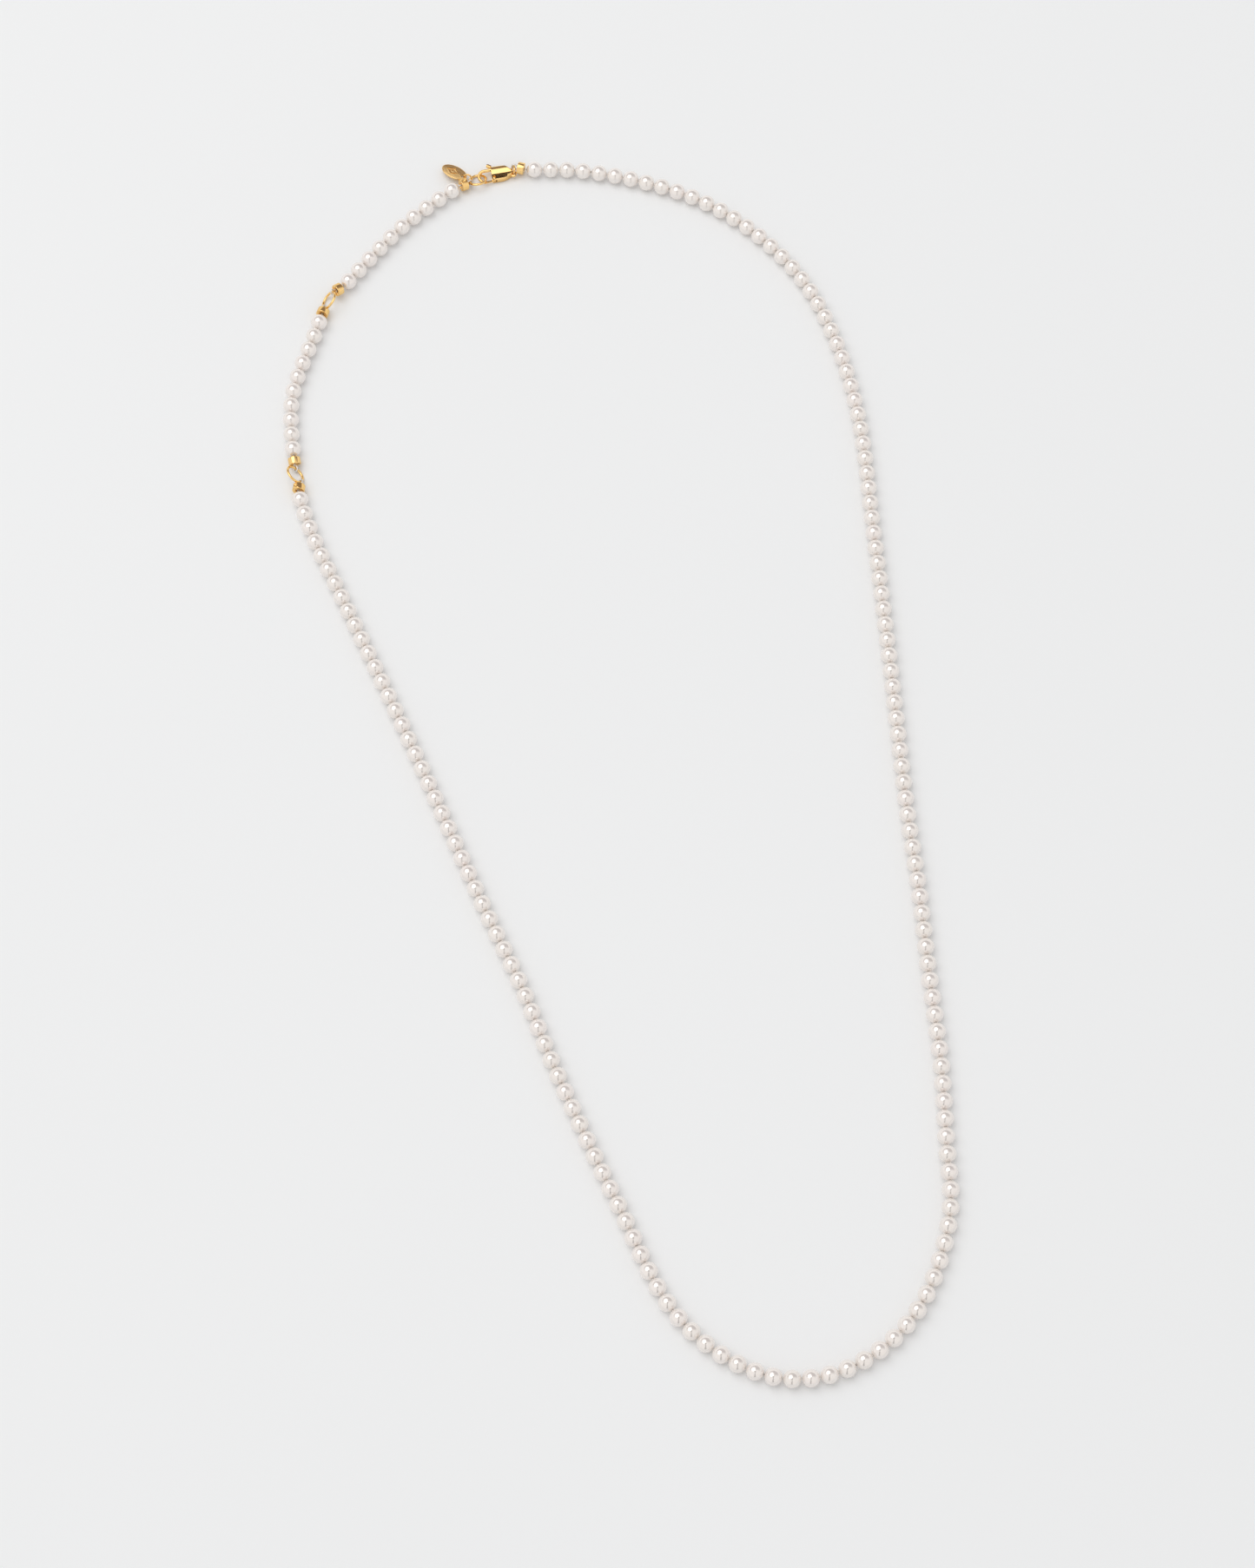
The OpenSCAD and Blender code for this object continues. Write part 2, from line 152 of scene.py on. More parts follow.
def noise(nt, scale, detail=3.0, rough=0.5, stretch=None, coord="Object"):
    tc = nt.nodes.new("ShaderNodeTexCoord")
    out = tc.outputs[coord]
    if stretch:
        mp = nt.nodes.new("ShaderNodeMapping")
        mp.inputs["Scale"].default_value = stretch
        nt.links.new(out, mp.inputs["Vector"])
        out = mp.outputs["Vector"]
    n = node(nt, "ShaderNodeTexNoise", Scale=scale, Detail=detail, Roughness=rough)
    nt.links.new(out, n.inputs["Vector"])
    return n.outputs["Fac"]


def bump(nt, bsdf, height, strength, distance, before=None):
    b = node(nt, "ShaderNodeBump", Strength=strength, Distance=distance)
    nt.links.new(height, b.inputs["Height"])
    if before is not None:
        nt.links.new(before, b.inputs["Normal"])
    nt.links.new(b.outputs["Normal"], bsdf.inputs["Normal"])
    return b.outputs["Normal"]


def pearl_material():
    mat, nt, p = material("pearl_nacre")
    tone = nt.nodes.new("ShaderNodeAttribute")
    tone.attribute_name = "tone"
    sep = nt.nodes.new("ShaderNodeSeparateColor")
    nt.links.new(tone.outputs["Color"], sep.inputs["Color"])
    # body colour: cream to rose white, cloudy over each pearl and different from pearl to pearl
    clouds = ramp(nt, noise(nt, 420, 3, 0.55), [(0.35, (0.815, 0.778, 0.752)), (0.65, (0.828, 0.786, 0.766))])
    own = ramp(nt, sep.outputs["Red"], [(0.0, (0.805, 0.772, 0.738)), (0.5, (0.830, 0.798, 0.770)), (1.0, (0.822, 0.776, 0.758))])
    body = mixed(nt, 0.5, clouds, own)
    # faint dark growth lines
    lines = ramp(nt, noise(nt, 900, 4, 0.6, (1, 1, 3)), [(0.30, (0.982, 0.978, 0.976)), (0.55, (1, 1, 1))])
    body = mixed(nt, 1.0, body, lines, "MULTIPLY")
    nt.links.new(body, p.inputs["Base Color"])
    nt.links.new(to_range(nt, noise(nt, 700, 3), 0.13, 0.17), p.inputs["Roughness"])
    p.inputs["Metallic"].default_value = 0.45
    p.inputs["IOR"].default_value = 1.55
    p.inputs["Coat Weight"].default_value = 0.20
    p.inputs["Coat Roughness"].default_value = 0.08
    p.inputs["Coat IOR"].default_value = 1.53
    # painted glow: a faint warm emission that lifts the pearls' shaded undersides and contacts, and the floor shadows
    # beside them, in place of light scattered inside the nacre
    p.inputs["Emission Color"].default_value = (1.0, 0.86, 0.74, 1)
    p.inputs["Emission Strength"].default_value = 0.085
    p.inputs["Sheen Weight"].default_value = 0.08
    p.inputs["Sheen Tint"].default_value = (1.0, 0.90, 0.82, 1)
    bump(nt, p, noise(nt, 380, 2), 0.10, 0.00002)
    return mat


def gold_material(name, low, high, rough, scratch=0.12, grain=(1, 1, 1), grain_scale=2600):
    mat, nt, p = material(name)
    col = ramp(nt, noise(nt, 260, 4, 0.6), [(0.3, low), (0.7, high)])
    worn = ramp(nt, noise(nt, 1500, 5, 0.65), [(0.28, (0.90, 0.88, 0.84)), (0.5, (1, 1, 1))])
    nt.links.new(mixed(nt, 1.0, col, worn, "MULTIPLY"), p.inputs["Base Color"])
    p.inputs["Metallic"].default_value = 1.0
    p.inputs["Specular Tint"].default_value = (1.0, 0.95, 0.84, 1)
    smudge = noise(nt, 520, 4, 0.6)
    nt.links.new(to_range(nt, smudge, rough[0], rough[1], 0.3, 0.7), p.inputs["Roughness"])
    h = bump(nt, p, noise(nt, 330, 2), 0.16, 0.00002)
    bump(nt, p, noise(nt, grain_scale, 4, 0.7, grain), scratch, 0.000012, h)
    return mat


PEARL = pearl_material()
GOLD = gold_material("gold_polished", (0.93, 0.62, 0.245), (0.97, 0.675, 0.295), (0.055, 0.13), 0.06)
GOLD_TAG = gold_material("gold_satin_tag", (0.90, 0.61, 0.27), (0.94, 0.66, 0.31), (0.18, 0.27), 0.22, (6, 1, 1), 3000)
GOLD_TURNED = gold_material("gold_turned_screw", (0.90, 0.61, 0.24), (0.94, 0.655, 0.28), (0.10, 0.2), 0.15)


def steel_material():
    mat, nt, p = material("wire_silver")
    col = ramp(nt, noise(nt, 1800, 4, 0.6), [(0.3, (0.66, 0.64, 0.61)), (0.7, (0.84, 0.82, 0.79))])
    nt.links.new(col, p.inputs["Base Color"])
    p.inputs["Metallic"].default_value = 0.75
    nt.links.new(to_range(nt, noise(nt, 1200, 3), 0.22, 0.36), p.inputs["Roughness"])
    bump(nt, p, noise(nt, 6000, 3), 0.2, 0.00001)
    return mat


STEEL = steel_material()


def spring_material():
    mat, nt, p = material("spring_steel_leaf")
    col = ramp(nt, noise(nt, 900, 4, 0.6), [(0.3, (0.34, 0.34, 0.35)), (0.7, (0.50, 0.50, 0.51))])
    nt.links.new(col, p.inputs["Base Color"])
    p.inputs["Metallic"].default_value = 1.0
    nt.links.new(to_range(nt, noise(nt, 1500, 3, 0.5, (8, 1, 1)), 0.25, 0.42), p.inputs["Roughness"])
    return mat


SPRING = spring_material()


# ------------------------------------------------------------------ mesh helpers
def to_object(name, verts, faces, mat, smooth=True, tones=None):
    me = bpy.data.meshes.new(name)
    me.from_pydata([tuple(v) for v in (np.asarray(verts, float) * K)], [], [tuple(f) for f in faces])
    me.validate()
    me.update()
    if smooth:
        me.polygons.foreach_set("use_smooth", [True] * len(me.polygons))
    if tones is not None:
        a = me.color_attributes.new("tone", "FLOAT_COLOR", "POINT")
        a.data.foreach_set("color", np.asarray(tones, np.float32).ravel())
    me.materials.append(mat)
    ob = bpy.data.objects.new(name, me)
    scene.collection.objects.link(ob)
    return ob


def frame_for(w, hint=(0.3, 0.2, 1.0)):
    w = unit(w)
    n = np.cross(w, hint)
    if np.linalg.norm(n) < 1e-4:
        n = np.cross(w, (1.0, 0.1, 0))
    n = unit(n)
    return n, np.cross(w, n)


def grid_faces(rows, cols, close_rows=False, close_cols=True):
    f = []
    for i in range(rows if close_rows else rows - 1):
        a, b = i * cols, ((i + 1) % rows) * cols
        for j in range(cols if close_cols else cols - 1):
            k = (j + 1) % cols
            f.append((a + j, a + k, b + k, b + j))
    return f


def lathe(profile, centre, ax, ref=None, segs=64, closed=True, offset=0):
    """A ring of (radius, height) points turned about ax; closed joins its last point to its first."""
    ax = unit(ax)
    e1, e2 = frame_for(ax) if ref is None else (unit(ref), np.cross(ax, unit(ref)))
    t = np.arange(segs) * 2 * math.pi / segs
    spoke = np.cos(t)[:, None] * e1 + np.sin(t)[:, None] * e2
    verts = np.concatenate([centre + r * spoke + h * ax for r, h in profile])
    faces = [tuple(x + offset for x in f[::-1]) for f in grid_faces(len(profile), segs, closed)]
    return verts, faces


def smooth_path(p, per=4):
    """Catmull-Rom points through p."""
    p = np.asarray(p, float)
    out = []
    for i in range(len(p) - 1):
        a, b, c, e = p[max(i - 1, 0)], p[i], p[i + 1], p[min(i + 2, len(p) - 1)]
        for k in range(per):
            t = k / per
            out.append(0.5 * (2 * b + (c - a) * t + (2 * a - 5 * b + 4 * c - e) * t * t + (3 * b - a - 3 * c + e) * t**3))
    out.append(p[-1])
    return np.array(out)


def sweep(path, radius, sides=12, lobes=0, depth=0.0, lay=0.0, caps=True, oval=1.0, hint=(0.3, 0.2, 1.0), offset=0):
    """A tube along path. radius is a number or one per point; lobes and lay give it a laid cable's strands."""
    p = np.asarray(path, float)
    k = len(p)
    w = np.gradient(p, axis=0)
    w /= np.linalg.norm(w, axis=1)[:, None]
    radius = np.full(k, radius, float) if np.isscalar(radius) else np.asarray(radius, float)
    n = [frame_for(w[0], hint)[0]]
    for i in range(1, k):
        v = n[-1] - (n[-1] @ w[i]) * w[i]
        n.append(unit(v))
    along = np.concatenate([[0], np.cumsum(np.linalg.norm(np.diff(p, axis=0), axis=1))])
    t = np.arange(sides) * 2 * math.pi / sides
    rings = []
    for i in range(k):
        b = np.cross(w[i], n[i])
        turn = 2 * math.pi * along[i] / lay if lay else 0.0
        r = radius[i] * (1 - depth * (1 - np.abs(np.cos(lobes * (t + turn) / 2)))) if lobes else np.full(sides, radius[i])
        rings.append(p[i] + (r * np.cos(t))[:, None] * n[i] + (r * oval * np.sin(t))[:, None] * b)
    verts = np.concatenate(rings)
    faces = [tuple(x + offset for x in f) for f in grid_faces(k, sides)]
    if caps:
        faces.append(tuple(range(offset + sides - 1, offset - 1, -1)))
        faces.append(tuple(range(offset + (k - 1) * sides, offset + k * sides)))
    return verts, faces


def merge(parts):
    verts, faces, n = [], [], 0
    for v, f in parts:
        verts.append(v)
        faces += [tuple(x + n for x in q) for q in f]
        n += len(v)
    return np.concatenate(verts), faces


def prism(outline, lo, hi, place):
    """Outline points (a, b) run from lo to hi; place maps (a, b, c) to the model's frame."""
    n = len(outline)
    v = [place(a, b, c) for c in (lo, hi) for a, b in outline]
    f = [tuple(range(n - 1, -1, -1)), tuple(range(n, 2 * n))]
    f += [(i, (i + 1) % n, n + (i + 1) % n, n + i) for i in range(n)]
    return np.array(v), f


def outward(ob):
    bm = bmesh.new()
    bm.from_mesh(ob.data)
    bmesh.ops.recalc_face_normals(bm, faces=bm.faces)
    bm.to_mesh(ob.data)
    bm.free()


def applied(ob):
    """Makes ob's modifiers part of its mesh."""
    bpy.context.view_layer.update()
    dg = bpy.context.evaluated_depsgraph_get()
    me = bpy.data.meshes.new_from_object(ob.evaluated_get(dg), depsgraph=dg)
    old = ob.data
    ob.modifiers.clear()
    ob.data = me
    bpy.data.meshes.remove(old)
    return ob


def volume(me):
    bm = bmesh.new()
    bm.from_mesh(me)
    vol = abs(bm.calc_volume()) * 1e9
    bm.free()
    return vol


def boolean(ob, other, how):
    """Solid operation; the second solver is used where the first loses the solid."""
    before, second = volume(ob.data), volume(other.data)
    keep = ob.data.copy()
    for solver in ("MANIFOLD", "EXACT"):
        md = ob.modifiers.new("b", "BOOLEAN")
        md.operation, md.object, md.solver = how, other, solver
        if solver == "EXACT":
            md.use_self = True
        applied(ob)
        after = volume(ob.data)
        low = before - second if how == "DIFFERENCE" else (0.0 if how == "INTERSECT" else max(before, second))
        if after > max(low * 0.98, 1e-3) and after < (before + second) * 1.02:
            break
        ob.data = keep.copy()
    bpy.data.objects.remove(other)
    return ob


def softened(ob, width, segs=3, angle=28):
    bm = bmesh.new()
    bm.from_mesh(ob.data)
    bmesh.ops.remove_doubles(bm, verts=bm.verts, dist=0.000002)
    bmesh.ops.dissolve_limit(bm, angle_limit=math.radians(0.5), verts=bm.verts, edges=bm.edges)
    bm.to_mesh(ob.data)
    bm.free()
    md = ob.modifiers.new("v", "BEVEL")
    md.width, md.segments, md.limit_method = width * K, segs, "ANGLE"
    md.angle_limit = math.radians(angle)
    md.use_clamp_overlap = True
    md.harden_normals = False
    return applied(ob)


def smooth_by_angle(ob, angle=32):
    me = ob.data
    me.polygons.foreach_set("use_smooth", [True] * len(me.polygons))
    me.set_sharp_from_angle(angle=math.radians(angle))


def weighted(ob, angle=38):
    """Smooth shading whose large flat faces stay flat."""
    smooth_by_angle(ob, angle)
    md = ob.modifiers.new("w", "WEIGHTED_NORMAL")
    md.keep_sharp = True
    md.weight = 80
    return applied(ob)


def finish_piece(ob, body, stands_for=()):
    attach(ob, body)
    if stands_for:
        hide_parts(*stands_for)
    return ob


# ------------------------------------------------------------------ reading the frame
def welded(ob):
    me = ob.data
    co = np.empty(len(me.vertices) * 3)
    me.vertices.foreach_get("co", co)
    co = co.reshape(-1, 3) / K
    uniq, inv = np.unique(np.round(co * 1e4).astype(np.int64), axis=0, return_inverse=True)
    inv = inv.ravel()
    e = np.empty(len(me.edges) * 2, np.int64)
    me.edges.foreach_get("vertices", e)
    return uniq / 1e4, inv[e].reshape(-1, 2)


def balls(ob):
    """Centres of the round solids in a node."""
    co, e = welded(ob)
    lab = np.arange(len(co))
    while True:
        low = np.minimum(lab[e[:, 0]], lab[e[:, 1]])
        new = lab.copy()
        np.minimum.at(new, e[:, 0], low)
        np.minimum.at(new, e[:, 1], low)
        new = new[new]
        if (new == lab).all():
            break
        lab = new
    out = []
    for k in np.unique(lab):
        v = co[lab == k]
        if len(v) < 20:
            continue
        a = np.column_stack([2 * v, np.ones(len(v))])
        s = np.linalg.lstsq(a, (v**2).sum(1), rcond=None)[0]
        out.append(s[:3])
    return out


def ring_of(name, wire):
    """Centre, two in-plane directions, normal and middle radius of a ring node."""
    co, _ = welded(NODES[name])
    c = (co.min(0) + co.max(0)) / 2
    for _ in range(6):
        _, _, vt = np.linalg.svd(co - co.mean(0), full_matrices=False)
        n = vt[2]
        flat = (co - c) - ((co - c) @ n)[:, None] * n
        r = np.linalg.norm(flat, axis=1)
        outer = co[r > np.quantile(r, 0.9)]
        a = np.column_stack([2 * outer, np.ones(len(outer))])
        q = np.linalg.lstsq(a, (outer**2).sum(1), rcond=None)[0][:3]
        c = co.mean(0) + (q - co.mean(0)) - ((q - co.mean(0)) @ n) * n
    r = np.linalg.norm((co - c) - ((co - c) @ n)[:, None] * n, axis=1).max() - wire / 2
    return c, vt[0], vt[1], n, r


# ------------------------------------------------------------------ strands
PEARL_R = 2.0
WIRE_R = 0.2
ends = {}  # gap points at each barrel: name -> (G, next G)
runs = {}


def gap_points(name, start):
    """The strand's gap points along one run of pearls, from the joint where it begins."""
    cs = sorted(balls(NODES[name]), key=lambda c: np.linalg.norm(c - start))
    g = [start]
    for c in cs:
        g.append(2 * c - g[-1])
    return cs, np.array(g)


for i in range(1, 32):
    name = f"pearls_c{i:02d}"
    runs[name] = gap_points(name, pos(f"bend_c{i:02d}"))
for n in ("a1", "a2", "b1", "b2"):
    runs[f"pearls_{n}"] = gap_points(f"pearls_{n}", pos(f"bend_{n}"))


def pearl_shape(centre, ax, seed, segs=40):
    """One drilled pearl: nearly round, with a softened rim round each end of its hole."""
    g = np.random.default_rng(seed)
    hole, rim = 0.28, 0.05
    size = PEARL_R - 0.004 - 0.01 * g.random()
    prof = []
    a0 = math.asin((hole + rim) / size)
    inner = size * math.cos(a0)
    prof.append((hole, -inner + 0.9))
    prof.append((hole, -inner + rim))
    prof.append((hole + rim * 0.3, -inner + rim * 0.3))
    for a in np.linspace(a0, math.pi - a0, 31):
        prof.append((size * math.sin(a), -size * math.cos(a)))
    prof.append((hole + rim * 0.3, inner - rim * 0.3))
    prof.append((hole, inner - rim))
    prof.append((hole, inner - 0.9))
    e1, e2 = frame_for(ax)
    turn = g.random() * 2 * math.pi
    ref = math.cos(turn) * e1 + math.sin(turn) * e2
    v, f = lathe(prof, np.zeros(3), ax, ref, segs)
    # slight unevenness of a grown pearl
    dirs = g.normal(size=(4, 3))
    ph = g.random(4) * 6.28
    amp = np.array([0.005, 0.004, 0.0025, 0.0015])
    away = np.zeros(len(v))
    for q in range(4):
        away -= amp[q] * (1 + np.sin(v @ unit(dirs[q]) * (1.1 + 0.7 * q) + ph[q])) / 2
    r = np.linalg.norm(v, axis=1)
    v = v * (1 + np.where(r > 1.9, away / 2.0, 0))[:, None]
    return v + centre, f


count = 0
for name, (cs, g) in runs.items():
    parts, tones = [], []
    for k, c in enumerate(cs):
        v, f = pearl_shape(c, g[k + 1] - g[k], 100 + count)
        parts.append((v, f))
        tones.append(np.tile([rng.random(), rng.random(), rng.random(), 1.0], (len(v), 1)))
        count += 1
    v, f = merge(parts)
    ob = to_object("nacre_" + name, v, f, PEARL, tones=np.concatenate(tones))
    finish_piece(ob, BODY[name], (name,))
    # the wire through this run
    wire = "wire_" + name[7]
    path = smooth_path(g, 3)
    v, f = sweep(path, WIRE_R, 12, 6, 0.10, 1.6)
    ob = to_object(f"{wire}_through_{name}", v, f, STEEL)
    finish_piece(ob, BODY[name], (wire,))

# ------------------------------------------------------------------ rings
RINGS = {"end_ring": 0.6, "link_1": 0.6, "link_2": 0.6, "jump_ring": 0.5, "tag_ring": 0.4}
ring_at = {n: ring_of(n, w) for n, w in RINGS.items()}


def ring_piece(name, wire, cut=None):
    """A round wire ring, soldered shut, or cut at a direction from its centre and closed by bending."""
    c, e1, e2, n, r = ring_at[name]
    segs, sides = 96, 28
    if cut is None:
        t = np.arange(segs) * 2 * math.pi / segs
        s = np.arange(sides) * 2 * math.pi / sides
        v = []
        for a in t:
            o = math.cos(a) * e1 + math.sin(a) * e2
            v.append(c + r * o + wire / 2 * (np.cos(s)[:, None] * o + np.sin(s)[:, None] * n))
        v = np.concatenate(v)
        f = grid_faces(segs, sides, True)
        ob = to_object("ring_" + name, v, f, GOLD)
        outward(ob)
    else:
        a0 = math.atan2(cut @ e2, cut @ e1)
        half = 0.012 / r
        t = np.linspace(a0 + half, a0 + 2 * math.pi - half, segs + 1)
        rows = []
        s = np.arange(sides) * 2 * math.pi / sides
        for q, a in enumerate([t[0], *t, t[-1]]):
            k = 0.86 if q in (0, len(t) + 1) else 1.0
            edge = 0.022 / r
            a = t[0] if q == 0 else (t[-1] if q == len(t) + 1 else min(max(a, t[0] + edge), t[-1] - edge))
            o = math.cos(a) * e1 + math.sin(a) * e2
            rows.append(c + r * o + k * wire / 2 * (np.cos(s)[:, None] * o + np.sin(s)[:, None] * n))
        v = np.concatenate(rows)
        f = grid_faces(len(rows), sides)
        f.append(tuple(range(sides - 1, -1, -1)))
        f.append(tuple(range((len(rows) - 1) * sides, len(rows) * sides)))
        ob = to_object("ring_" + name, v, f, GOLD)
        outward(ob)
        smooth_by_angle(ob, 50)
    return finish_piece(ob, BODY[name], (name,))


for n in ("end_ring", "link_1", "link_2"):
    ring_piece(n, RINGS[n])

# ------------------------------------------------------------------ barrels
# node number, joint at the ring, joint at the pearls, face to ring wire, ring wire, neck
BARRELS = [
    (1, "barrel_1_swing", "bend_a1", 0.85, 0.6, 0.0),
    (2, "link_1_swing", "bend_barrel_2", 0.65, 0.6, 0.35),
    (3, "barrel_3_swing", "bend_b1", 0.75, 0.6, 0.0),
    (4, "link_2_swing", "bend_barrel_4", 1.0, 0.6, 0.3),
    (5, "barrel_5_swing", "bend_c31", 1.0, 0.6, 0.0),
    (6, "barrel_6_swing", "bend_c01", 0.9, 0.5, 0.0),
]
CRIMP_D, CRIMP_L, BORE_R, SCREW_D = 3.0, 1.7, 0.65, 1.0


def arc(cx, cy, r, a, b, n=5):
    return [(cx + r * math.cos(math.radians(t)), cy + r * math.sin(math.radians(t))) for t in np.linspace(a, b, n)]


def barrel_frame(u):
    az, pol = math.atan2(u[1], u[0]), math.acos(u[2])
    x = np.array([math.cos(az) * math.cos(pol), math.sin(az) * math.cos(pol), -math.sin(pol)])
    return x, np.cross(u, x)


def barrel_piece(k, ring_joint, gap_joint, face, ring_wire, neck):
    h, g = pos(ring_joint), pos(gap_joint)
    u = unit(h - g)
    mid = h - (face + CRIMP_L / 2) * u
    R, L = CRIMP_D / 2, CRIMP_L / 2
    e = 0.13
    prof = []
    # ring side: rounded rim, narrow lip, dish down to the bore
    prof += arc(R - e, L - e, e, 0, 90, 6)
    prof += [(1.26, L)] + arc(1.24, L - 0.03, 0.03, 90, 180, 3)[1:]
    prof += [(0.80, L - 0.20), (BORE_R + 0.04, L - 0.26), (BORE_R, L - 0.32)]
    if neck:
        q = -L - neck
        prof += [(BORE_R, q + 0.06), (BORE_R + 0.04, q + 0.01)] + arc(BORE_R + 0.17, q + 0.08, 0.08, 270, 360, 4)
        prof += [(BORE_R + 0.25, -L - 0.03), (BORE_R + 0.28, -L)]
    else:
        prof += [(BORE_R, -L + 0.14), (BORE_R + 0.05, -L + 0.05), (BORE_R + 0.14, -L)]
    prof += arc(R - e, -L + e, e, 270, 360, 6)
    x, y = barrel_frame(u)
    v, f = lathe(prof, mid, u, x, 96)
    ob = to_object(f"barrel_{k}", v, f, GOLD)
    outward(ob)
    # set screw's hole
    away = welded(NODES[f"screw_{k}"])[0].mean(0) - mid
    s = unit(away - (away @ u) * u)
    cv, cf = lathe([(0.0001, 0.3), (SCREW_D / 2 + 0.02, 0.3), (SCREW_D / 2 + 0.02, R - 0.06),
                    (SCREW_D / 2 + 0.10, R + 0.05), (SCREW_D / 2 + 0.10, R + 0.3), (0.0001, R + 0.3)], mid, s, u, 40)
    cutter = to_object("cutter", cv, cf, GOLD)
    outward(cutter)
    boolean(ob, cutter, "DIFFERENCE")
    weighted(ob, 38)
    body = BODY[f"crimp_{k}"]
    finish_piece(ob, body, (f"crimp_{k}",))
    # set screw: rounded edge, dished head with a raised middle
    top = R - 0.13
    sv, sf = lathe([(0.0002, 0.57), (0.36, 0.57), (0.5, 0.70)] + [(0.5, top - 0.07)] + arc(0.43, top - 0.07, 0.07, 0, 90, 4)
                   + [(0.38, top - 0.02), (0.30, top - 0.11), (0.22, top - 0.12), (0.17, top - 0.03), (0.10, top + 0.02), (0.0002, top + 0.035)],
                   mid, s, u, 40, closed=False)
    ob = to_object(f"set_screw_{k}", sv, sf, GOLD_TURNED)
    bm = bmesh.new()
    bm.from_mesh(ob.data)
    bmesh.ops.remove_doubles(bm, verts=bm.verts, dist=0.0000006)
    bmesh.ops.recalc_face_normals(bm, faces=bm.faces)
    bm.to_mesh(ob.data)
    bm.free()
    smooth_by_angle(ob, 45)
    finish_piece(ob, body, (f"screw_{k}",))
    # the wire's loop round the ring, both legs through the bore, and its end at the first pearl
    t = axis(ring_joint)
    across = unit(np.cross(t, u))
    s_len = np.linalg.norm(np.cross(t, u))
    r = ring_wire / 2 / s_len + WIRE_R + 0.14
    leg = WIRE_R + 0.03
    f0 = h - face * u
    w = min(0.8 * r, 0.38)
    path = [f0 - (CRIMP_L - 0.15) * u - leg * across, f0 - 0.55 * u - leg * across, f0 - w * across]
    path += [h + r * (math.cos(math.radians(q)) * u + math.sin(math.radians(q)) * across) for q in range(-75, 76, 25)]
    path += [f0 + w * across, f0 - 0.55 * u + leg * across, f0 - (CRIMP_L - 0.5) * u + leg * across, g]
    v, f = sweep(smooth_path(path, 6), WIRE_R, 18, 6, 0.13, 1.5)
    wire = {1: "wire_a", 2: "wire_a", 3: "wire_b", 4: "wire_b", 5: "wire_c", 6: "wire_c"}[k]
    ob = to_object(f"{wire}_loop_{k}", v, f, STEEL)
    finish_piece(ob, body, (wire,))


for b in BARRELS:
    barrel_piece(*b)

# ------------------------------------------------------------------ clasp
CLASP_TURN = math.radians(10.6)
PIVOT, EYE = np.array([-1.9, -0.8]), np.array([3.05, -0.3])
pv = pos("lever_pivot")
ct, st = math.cos(CLASP_TURN), math.sin(CLASP_TURN)
CLASP_AT = pv - np.array([ct * PIVOT[0] - st * PIVOT[1], st * PIVOT[0] + ct * PIVOT[1], pv[2]])


def on_clasp(x, y, z):
    return CLASP_AT + np.array([ct * x - st * y, st * x + ct * y, z])


GATE = (0.72, 1.14)
outline = [(-2.4, -1.2), (-2.2, -1.4), (0.5, -1.38), (1.35, -1.12), (1.9, -0.8), (2.6, -0.6), (2.6, 0.45),
           (2.15, 0.95), (1.75, 1.45), (1.2, 1.85), (0.6, 1.98), (-2.0, 2.1), (-2.4, 1.95)]
crown = smooth_path([(2.3, 1.4, 0), (2.28, 1.82, 0), (2.17, 2.15, 0), (1.88, 2.34, 0), (1.4, 2.395, 0), (0.9, 2.385, 0), (0.4, 2.34, 0), (-0.1, 2.275, 0)], 5)
crown = list(crown) + [(-0.6, 1.95, 0), (-1.0, 1.69, 0), (-1.36, 1.45, 0), (-1.45, 1.34, 0), (-1.53, 1.22, 0), (-1.6, 1.02, 0)]
section = [(-1.6, 0.15), (2.3, 0.15)] + [(a, b) for a, b, _ in crown]
v, f = prism(outline, 0.15, 2.6, on_clasp)
body = to_object("clasp_casing", v, f, GOLD)
outward(body)
v, f = prism(section, -3.0, 3.2, lambda y, z, x: on_clasp(x, y, z))
other = to_object("cutter", v, f, GOLD)
outward(other)
boolean(body, other, "INTERSECT")
softened(body, 0.09, 3, 24)
# tail lug round the eye
v, f = lathe([(0.0001, 0.9)] + [(0.80, 0.9)] + arc(0.79, 0.96, 0.06, 270, 360, 4) + arc(0.79, 1.44, 0.06, 0, 90, 4) + [(0.0001, 1.5)],
             on_clasp(*EYE, 0), (0, 0, 1), None, 48, closed=False)
lug = to_object("lug", v, f, GOLD)
bm = bmesh.new()
bm.from_mesh(lug.data)
bmesh.ops.remove_doubles(bm, verts=bm.verts, dist=0.0000006)
bmesh.ops.recalc_face_normals(bm, faces=bm.faces)
bm.to_mesh(lug.data)
bm.free()
boolean(body, lug, "UNION")
# hook: arm and curve in one tapering round bar
HC, HR, HZ, TILT = np.array([-4.15, 0.1]), 1.5, 1.42, math.radians(7)


def hook_point(x, y, out=0.0):
    return on_clasp(HC[0] + x, HC[1] + y * math.cos(TILT), HZ + y * math.sin(TILT))


path, rad = [], []
for x in np.linspace(2.6, 0.1, 10):
    path.append(hook_point(x, HR))
    rad.append(0.42 + 0.10 * max(0, (x - 1.4) / 1.2))
for a in np.linspace(90, 232, 44):
    path.append(hook_point(HR * math.cos(math.radians(a)), HR * math.sin(math.radians(a))))
    s = (a - 90) / 142
    rad.append(0.42 - 0.07 * s)
tip = path[-1] - path[-2]
tip = unit(tip)
end = path[-1]
for a in (30, 55, 75, 88):
    path.append(end + tip * rad[43 + 9] * math.sin(math.radians(a)) * 0.6)
    rad.append(max(0.35 * math.cos(math.radians(a)), 0.01))
v, f = sweep(path, rad, 28, hint=(0, 0, 1))
hook = to_object("hook", v, f, GOLD)
outward(hook)
boolean(body, hook, "UNION")
